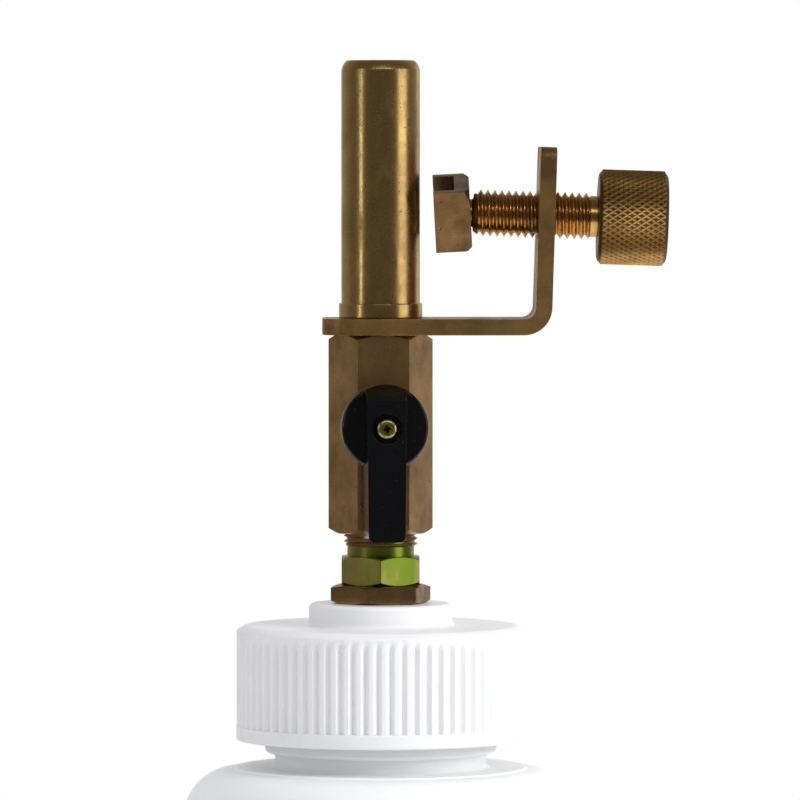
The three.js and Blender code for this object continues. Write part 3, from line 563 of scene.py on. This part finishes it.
NIPPLE_CREST = 6.85
NIPPLE_ROOT = 6.25
NIPPLE_PITCH = 1
nipple = combined(
    hex_bar("hex_nipple_shell", 14.4, NUT_TOP, 180.4, 26, 0.8),
    thread_rod("lower_thread", NIPPLE_CREST, NIPPLE_ROOT, NIPPLE_PITCH, 156, 175.3),
    turned("nipple_neck", [(0, 180), (6.2, 180), (6.2, 182.2), (6.5, 182.6), (0, 182.6)], steps=64),
    thread_rod("upper_thread", NIPPLE_CREST, NIPPLE_ROOT, NIPPLE_PITCH, 182.1, 193))
nipple_bore = turned("drill", [(0, 150), (4, 150), (4, 200), (0, 200)], steps=48)
combined(nipple, nipple_bore, operation="DIFFERENCE")

yellow_zinc, sheet, shader = new_finish("yellow zinc plate", Metallic=1.0)
drift = grain(sheet, 95, (1.6, 0.5, 0.8), detail=3)
streaks = grain(sheet, 380, (1, 1, 0.25), detail=5, roughness=0.7)
place = sheet.node("ShaderNodeTexCoord", out="Object")
across = sheet.node("ShaderNodeSeparateXYZ", sockets={0: place}, out="X") * (1 / (7.5 * MM))
hue = across * 0.30 + drift * 0.9 + streaks * 0.25 - 0.06
rainbow = sheet.node("ShaderNodeValToRGB", {"stops": [
    (0.0, (0.26, 0.21, 0.065)), (0.28, (0.36, 0.29, 0.080)), (0.40, (0.36, 0.34, 0.07)),
    (0.46, (0.24, 0.31, 0.036)), (0.64, (0.19, 0.29, 0.028)), (0.80, (0.46, 0.34, 0.13)),
]}, {0: hue})
height = sheet.node("ShaderNodeSeparateXYZ", sockets={0: place}, out="Z")
pink = streaks.between(0.62, 0.8) * 0.5 + height.between(181.8 * MM, 182.8 * MM) * 0.65
feed(sheet, shader,
     Base_Color=sheet.mix(pink, rainbow, (0.42, 0.26, 0.16)),
     Roughness=0.22 + streaks * 0.16,
     Normal=bump(sheet, streaks + drift, 0.03, 0.45))
finished(nipple, yellow_zinc, "torch", "yellow_zinc", "hex_nipple")
refinish(yellow_zinc, "handle_lock_washer")


# ------------------------------------------------------------------ ball valve body
# A mini ball valve machined from one length of hexagon brass: long flats, turned end chamfers,
# a round boss on the front for the stem, and a small pin that stops the lever at either end.
def placed(piece, matrix):
    """Moves a piece from where it was drawn to where it belongs, and keeps that in its mesh."""
    piece.matrix_world = matrix
    only(piece)
    bpy.ops.object.transform_apply(location=True, rotation=True, scale=True)
    return piece


BALL_Z = 204.5
VALVE_FOOT = 184.6
VALVE_TOP = 221.4
PIN_OFFSET = 4.243
stem_frame = Matrix.Translation((0, 0, BALL_Z * MM)) @ Matrix.Rotation(math.pi / 2, 4, "X")
valve = hex_bar("valve_body_shell", 16.8, VALVE_FOOT, VALVE_TOP, 0, 1)
boss = turned("stem_boss", [(0, 7), (7.9, 7), (7.9, 9.9), (7.5, 10.3), (0, 10.3)], steps=96)
placed(boss, stem_frame)
stop_pin = turned("stop_pin", [(0, 9), (0.8, 9), (0.8, 11.75), (0.55, 12), (0, 12)], steps=24)
placed(stop_pin, stem_frame @ Matrix.Translation((PIN_OFFSET * MM, PIN_OFFSET * MM, 0)))
combined(valve, boss, stop_pin)
bore = turned("bore", [
    (0, 180), (8.3, 180), (7.15, 185.4), (7.15, 193.8), (3.4, 195.4), (3.4, 197.3), (7, 197.3),
    (7, 220.8), (8, 222.4), (0, 222.4)], steps=64)
stem_bore = turned("stem_bore", [(0, 2), (4, 2), (4, 7.7), (2.8, 7.7), (2.8, 11), (0, 11)], steps=48)
placed(stem_bore, stem_frame)
combined(valve, bore, stem_bore, operation="DIFFERENCE")
body_brass = metal_finish("milled brass", (0.64, 0.385, 0.156), (0.30, 0.178, 0.074), (420, 420, 18),
                          0.25, 0.7, 0.03)
finished(valve, body_brass, "torch", "satin_brass", "valve_body")


# ------------------------------------------------------------------ lever and its screw
# The lever is moulded in glossy black: a round hub with a tall tapered finger across it. A
# yellow-plated cross-head screw with a split washer sits in a round well over the stem.
def slab(name, outline, width):
    """An outline in the XZ plane, filled and extruded evenly to both sides; stays in edit mode."""
    piece = drawn(name, outline + outline[:1])
    weld()
    bpy.ops.mesh.edge_face_add()
    bpy.ops.mesh.extrude_region_move(TRANSFORM_OT_translate={"value": (0, width * MM, 0)})
    bpy.ops.mesh.select_all(action="SELECT")
    bpy.ops.transform.translate(value=(0, -width / 2 * MM, 0))
    bpy.ops.mesh.normals_make_consistent(inside=False)
    return piece


def block(name, size, centre):
    """A box to cut with or to start from."""
    nothing_selected()
    bpy.ops.mesh.primitive_cube_add(size=1, location=[c * MM for c in centre],
                                    scale=[s * MM for s in size])
    cube = bpy.context.object
    cube.name = name
    bpy.ops.object.transform_apply(location=True, scale=True)
    return cube


def round_corners(piece, rule, radius, segments):
    """In edit mode, bevels the edges that keep one Y and whose middles obey a rule."""
    bpy.ops.mesh.select_all(action="DESELECT")
    bpy.ops.mesh.select_mode(type="EDGE")
    mesh = bmesh.from_edit_mesh(piece.data)
    for edge in mesh.edges:
        first, second = (vertex.co / MM for vertex in edge.verts)
        edge.select_set(abs(first.y - second.y) < 0.01 and rule((first + second) / 2))
    bmesh.update_edit_mesh(piece.data)
    bpy.ops.mesh.bevel(offset=radius * MM, segments=segments, affect="EDGES")


FINGER_ROOT_WIDTH = 8.3
FINGER_FACE_WIDTH = 7.2
FINGER_TAPER = 0.94
FINGER_END = -20.8
finger = slab("lever_shell", [
    (10.75, -20.4), (10.75, 8.5), (12.4, 8.5), (18, 5.3), (18, FINGER_END), (11.2, FINGER_END),
], FINGER_ROOT_WIDTH)
bpy.ops.object.mode_set(mode="OBJECT")
placed(finger, Matrix(((0, 1, 0, 0), (0, 0, 1, 0), (1, 0, 0, 0), (0, 0, 0, 1))))
only(finger)
bpy.ops.object.mode_set(mode="EDIT")
pick(finger, lambda place: place.z > 16)
bpy.ops.transform.resize(value=(FINGER_FACE_WIDTH / FINGER_ROOT_WIDTH, 1, 1),
                         center_override=(0, 0, 0))
pick(finger, lambda place: place.y < -10)
bpy.ops.transform.resize(value=(FINGER_TAPER, 1, 1), center_override=(0, 0, 0))
round_corners(finger, lambda place: place.y < FINGER_END + 0.1 and abs(place.x) > 2, 1.1, 5)
bpy.ops.object.mode_set(mode="OBJECT")
round_top = turned("round_top", [(0, 9), (7.98, 9), (7.98, 20), (0, 20)], steps=128)
combined(round_top, block("lower_half", (16.4, 24, 12.4), (0, -12, 14.4)))
combined(finger, round_top, operation="INTERSECT")
softened(finger, 0.4, segments=4, angle=20)
hub = turned("lever_hub", [
    (0, 10.6), (7.7, 10.6), (8, 10.9), *arc(7.4, 12.4, 0.6, 0, 85), (0, 13)], steps=96)
well = turned("well", [(0, 16.1), (2.7, 16.1), (2.7, 17.6), (3.2, 18.3), (3.2, 20), (0, 20)], steps=64)
drive = turned("drive", [(0, 9), (2.75, 9), (2.75, 14.7), (1.7, 14.7), (1.7, 17), (0, 17)], steps=48)
GROOVE_START = 33.5
GROOVE_SWEEP = 113
groove = drawn("stop_groove", [(4.8, 9), (7.2, 9), (7.2, 12.2), (4.8, 12.2), (4.8, 9)])
weld()
bpy.ops.mesh.edge_face_add()
bpy.ops.mesh.spin(steps=24, angle=math.radians(GROOVE_SWEEP), center=(0, 0, 0), axis=(0, 0, 1))
weld()
face_outwards()
placed(groove, Matrix.Rotation(math.radians(GROOVE_START), 4, "Z"))
combined(finger, hub)
combined(finger, well, drive, groove, operation="DIFFERENCE")
placed(finger, stem_frame)

gloss_black, sheet, shader = new_finish("gloss black", IOR=1.45)
haze = grain(sheet, 140, detail=4)
scratches = grain(sheet, 900, (1, 0.06, 1), detail=2).between(0.66, 0.74)
dust = grain(sheet, 2600, detail=1).between(0.72, 0.78)
feed(sheet, shader,
     Base_Color=sheet.mix(
         dust * 0.12, sheet.mix(haze, (0.0015, 0.0015, 0.002), (0.004, 0.004, 0.005)),
         (0.12, 0.12, 0.12)),
     Roughness=0.10 + haze * 0.10 + scratches * 0.12 + dust * 0.2,
     Normal=bump(sheet, haze - scratches * 0.3, 0.02, 0.3))
finished(finger, gloss_black, "lever", "black_plastic", "handle")

screw = turned("lever_screw_shell", [
    (0, 12.3), (0.8, 12.3), (1, 12.6), (1, 16.6), (2, 16.6), (2.1, 16.75), (2.1, 17.15),
    *arc(1.1, 17.0, 0.95, 18, 80, 4), (0, 17.95)], steps=64)
DRIVER_SLOT_TURNS = (12, 102)
for turn in DRIVER_SLOT_TURNS:
    nothing_selected()
    bpy.ops.mesh.primitive_cone_add(vertices=4, radius1=0.3 * MM, radius2=2.0 * MM, depth=1.2 * MM,
                                    location=(0, 0, 17.65 * MM), rotation=(0, 0, math.radians(45)))
    blade = bpy.context.object
    bpy.ops.object.transform_apply(location=True, rotation=True)
    only(blade)
    bpy.ops.object.mode_set(mode="EDIT")
    bpy.ops.mesh.select_all(action="SELECT")
    bpy.ops.transform.resize(value=(1, 0.26, 1), center_override=(0, 0, 0))
    bpy.ops.object.mode_set(mode="OBJECT")
    placed(blade, Matrix.Rotation(math.radians(turn), 4, "Z"))
    combined(screw, blade, operation="DIFFERENCE")
placed(screw, stem_frame)


def recess_shade(sheet):
    """Painted shade in the recess and round the head: everything deeper than the crown of the head is
    darkened.
    """
    place = sheet.node("ShaderNodeTexCoord", out="Object")
    depth = sheet.node("ShaderNodeSeparateXYZ", sockets={0: place}, out="Y")
    return depth.between(-17.65 * MM, -17.45 * MM) * 0.85


# Painted shade darkens the cross recess and the head's sides below its crown.
screw_zinc = metal_finish("screw zinc", (0.80, 0.70, 0.26), (0.22, 0.16, 0.06),
                          (700, 700, 700), 0.14, 1.0, 0.12, painted_shade=recess_shade)
finished(screw, screw_zinc, "lever", "yellow_zinc", "handle_screw")


# ------------------------------------------------------------------ strap bracket
# A flat brass strap, sawn to length, rounded at its free end, bent up once with a soft outside
# radius, and drilled twice: the tube's collar pins it to the valve, the screw runs in the other.
STRAP_THICK = 3
STRAP_WIDTH = 19
STRAP_END = -10.8
STRAP_TOP = 224.4
UPRIGHT = 29.6
BEND_RADIUS = 2.2
BEND_X = 26.3
BEND_Z = STRAP_TOP + BEND_RADIUS
LEAN_DEGREES = 1.8
LEAN = math.radians(LEAN_DEGREES)
TWIST = math.radians(-3)
up_strap = Vector((math.sin(LEAN), math.cos(LEAN)))
out_strap = Vector((math.cos(LEAN), -math.sin(LEAN)))


def on_strap(outward, along):
    """A point in the XZ plane, outward from the bend's centre and then up the upright."""
    return Vector((BEND_X, BEND_Z)) + out_strap * outward + up_strap * along


outer_bend = BEND_RADIUS + STRAP_THICK
strap = slab("clamp_bracket_shell", [
    (STRAP_END, VALVE_TOP), *arc(BEND_X, BEND_Z, outer_bend, -90, -LEAN_DEGREES, 14),
    tuple(on_strap(outer_bend, UPRIGHT)), tuple(on_strap(BEND_RADIUS, UPRIGHT)),
    *arc(BEND_X, BEND_Z, BEND_RADIUS, -LEAN_DEGREES, -90, 14), (STRAP_END, STRAP_TOP),
], STRAP_WIDTH)
round_corners(strap, lambda place: place.x < STRAP_END + 0.1, 5.5, 10)
round_corners(strap, lambda place: place.z > 256 and abs(place.y) > 9, 2, 5)
bpy.ops.object.mode_set(mode="OBJECT")
SCREW_UP = 17
screw_middle = on_strap(BEND_RADIUS + STRAP_THICK / 2, SCREW_UP)
twist = Matrix.Rotation(TWIST, 4, "Z")
screw_frame = (twist @ Matrix.Translation((screw_middle.x * MM, 0, screw_middle.y * MM))
               @ Matrix.Rotation(math.pi / 2 + LEAN, 4, "Y"))
placed(strap, twist)
tapped = turned("tapped_hole", [
    (0, -3), (5.6, -3), (4.4, -1.1), (4.4, 1.1), (5.6, 3), (0, 3)], steps=64)
placed(tapped, screw_frame)
combined(strap, cutter("drill", 6.95, VALVE_TOP, STRAP_TOP, 0.2), tapped, operation="DIFFERENCE")
softened(strap, 0.22, segments=2)
strap_brass = metal_finish("rolled brass", (0.60, 0.36, 0.135), (0.23, 0.135, 0.050),
                           (60, 500, 500), 0.38, 0.85)
finished(strap, strap_brass, "torch", "satin_brass", "clamp_bracket")


# ------------------------------------------------------------------ outlet tube
# The outlet is a turned brass tube, rubbed to a satin shine, with a bevelled mouth, a thin collar
# that pins the strap down, and a shank that is screwed into the top of the valve.
tube = turned("outlet_tube_shell", [
    (4.9, 214.8), (6.1, 214.8), (6.7, 215.4), (6.7, 224.3), (7.5, STRAP_TOP), (7.75, 224.65),
    (7.75, 226.95), *arc(7.5, 226.95, 0.25, 0, 90, 3), (7.3, 227.2), (7.3, 270.3), (7.24, 270.5),
    (7.08, 270.95), (6.86, 271.4), (6.62, 271.75), (6.36, 272.0), (6.05, 272.1), (5.25, 272.1),
    (5.0, 271.9), (4.9, 271.6),
], steps=128, closed=True)
tube_brass = metal_finish("turned brass", (0.68, 0.445, 0.165), (0.32, 0.205, 0.078), (14, 14, 1400),
                          0.19, 0.55, 0.010)
finished(tube, tube_brass, "torch", "satin_brass", "outlet_tube")


# ------------------------------------------------------------------ clamp screw
# A brass screw with a coarse rolled thread, still orange and bright where it is turned by hand.
# Its turned tip carries the jaw behind a spring ring; its plain neck is pressed into the knob.
SCREW_CREST = 4.32
SCREW_ROOT = 3.5
SCREW_PITCH = 1.3
KNOB_START = 9.7
clamp_screw = combined(
    thread_rod("clamp_screw_shell", SCREW_CREST, SCREW_ROOT, SCREW_PITCH, -13.4, 8.4, (1.5, 0.5),
               steps=56),
    turned("screw_neck", [(0, 8), (3.6, 8), (3.8, 8.3), (3.8, 9.6), (3, KNOB_START), (3, 19),
                          (0, 19)], steps=48),
    turned("screw_tip", [(0, -18.8), (2.1, -18.8), (2.5, -18.4), (2.5, -18.3), (2, -18.3),
                         (2, -17.4), (2.5, -17.4), (2.5, -13.7), (3, -13.2), (0, -13.2)], steps=48))
placed(clamp_screw, screw_frame)


def off_axis(sheet, near, far):
    """1 at the near radius from the screw's axis, falling to 0 at the far one, in millimetres."""
    place = sheet.node("ShaderNodeTexCoord", out="Object")
    axis = screw_frame.to_3x3() @ Vector((0, 0, 1))
    offset = sheet.node("ShaderNodeVectorMath", {"operation": "SUBTRACT"},
                        {0: place, 1: screw_frame.translation})
    along = sheet.node("ShaderNodeVectorMath", {"operation": "DOT_PRODUCT"},
                       {0: offset, 1: axis}, out="Value")
    length = sheet.node("ShaderNodeVectorMath", {"operation": "LENGTH"}, {0: offset}, out="Value")
    radius = length.maths("SQRT", length * length - along * along)
    return 1 - radius.between(near * MM, far * MM)


# Painted shade: the thread's roots are darkened, fading out towards the crests.
screw_brass = metal_finish("bright brass", (0.84, 0.51, 0.155), (0.42, 0.21, 0.062),
                           (600, 250, 250), 0.19, 0.5, 0.006,
                           painted_shade=lambda sheet: off_axis(sheet, 3.45, 4.0) * 0.4)
finished(clamp_screw, screw_brass, "screw", "bright_brass", "clamp_screw")


# ------------------------------------------------------------------ thumb knob
# A brass thumb knob, diamond-knurled round its rim by a pair of wheels, with turned bevels at
# both ends. The hollows of the knurl carry painted shade in dark brown, and its points are rubbed
# bright.
KNOB_END = 22.5
KNOB_RADIUS = 8.8
KNURL_COLUMNS = 96
KNURL_DEPTH = 0.34
knurl_rows = [10.4 + 11.4 * k / 13 for k in range(14)]
knob = turned("thumb_knob_shell", [
    (0, 19.6), (3.1, 19.6), (3.1, KNOB_START), (7.85, KNOB_START), (8.1, 9.8), (8.5, 10.2),
    *[(KNOB_RADIUS, z) for z in knurl_rows], (8.5, 21.98), (7.95, 22.4), (7.7, KNOB_END),
    (0, KNOB_END),
], steps=KNURL_COLUMNS)
only(knob)
bpy.ops.object.mode_set(mode="EDIT")


def in_knurl_valley(place):
    """True for every other point of the rim's grid, as on a chessboard."""
    row = (place.z - knurl_rows[0]) / (knurl_rows[1] - knurl_rows[0])
    column = math.atan2(place.y, place.x) / (2 * math.pi) * KNURL_COLUMNS
    return place.xy.length > KNOB_RADIUS - 0.2 and (round(row) + round(column)) % 2 == 1


pick(knob, in_knurl_valley)
valley = 1 - KNURL_DEPTH / KNOB_RADIUS
bpy.ops.transform.resize(value=(valley, valley, 1), center_override=(0, 0, 0))
bpy.ops.mesh.select_all(action="SELECT")
bpy.ops.mesh.quads_convert_to_tris(quad_method="LONGEST_DIAGONAL")
bpy.ops.object.mode_set(mode="OBJECT")
placed(knob, screw_frame)
# Painted shade: the knurl's hollows are darkened by their nearness to the axis.
knob_brass = metal_finish("knurled brass", (0.66, 0.385, 0.125), (0.32, 0.180, 0.056),
                          (200, 200, 200), 0.26, 0.7,
                          painted_shade=lambda sheet: off_axis(sheet, 8.5, 8.76) * 0.7)
finished(knob, knob_brass, "screw", "satin_brass", "thumb_knob", smooth=12)


# ------------------------------------------------------------------ clamp jaw
# A small brass block with a milled channel across its face grips the hose or rod. It hangs
# loose on the screw's tip, so it has settled a little askew.
JAW_TURN = math.radians(17)
JAW_TILT = math.radians(-5)
CHANNEL_FLOOR = -16.7
JAW_BACK = -13.9
jaw_middle = Matrix.Translation((0, 0, (CHANNEL_FLOOR + JAW_BACK) / 2 * MM))
jaw_frame = (screw_frame @ jaw_middle @ Matrix.Rotation(JAW_TURN, 4, "Z")
             @ Matrix.Rotation(JAW_TILT, 4, "Y") @ jaw_middle.inverted())
jaw = block("clamp_jaw_shell", (11.6, 11.5, 6.7), (0, 0, -17.25))
eased = turned("eased_back", [
    (0, -22), (12, -22), (12, -17.3), (6.65, JAW_BACK), (0, JAW_BACK)], steps=64)
combined(jaw, eased, operation="INTERSECT")
combined(jaw, block("channel", (20, 8.6, 5), (0, 0, CHANNEL_FLOOR - 2.5)),
         cutter("drill", 3.1, CHANNEL_FLOOR, JAW_BACK, 0.15), operation="DIFFERENCE")
softened(jaw, 0.45, segments=3)
placed(jaw, jaw_frame)
jaw_brass = metal_finish("jaw brass", (0.31, 0.175, 0.072), (0.150, 0.080, 0.031),
                         (300, 300, 90), 0.24, 0.8)
finished(jaw, jaw_brass, "jaw", "satin_brass", "clamp_jaw")
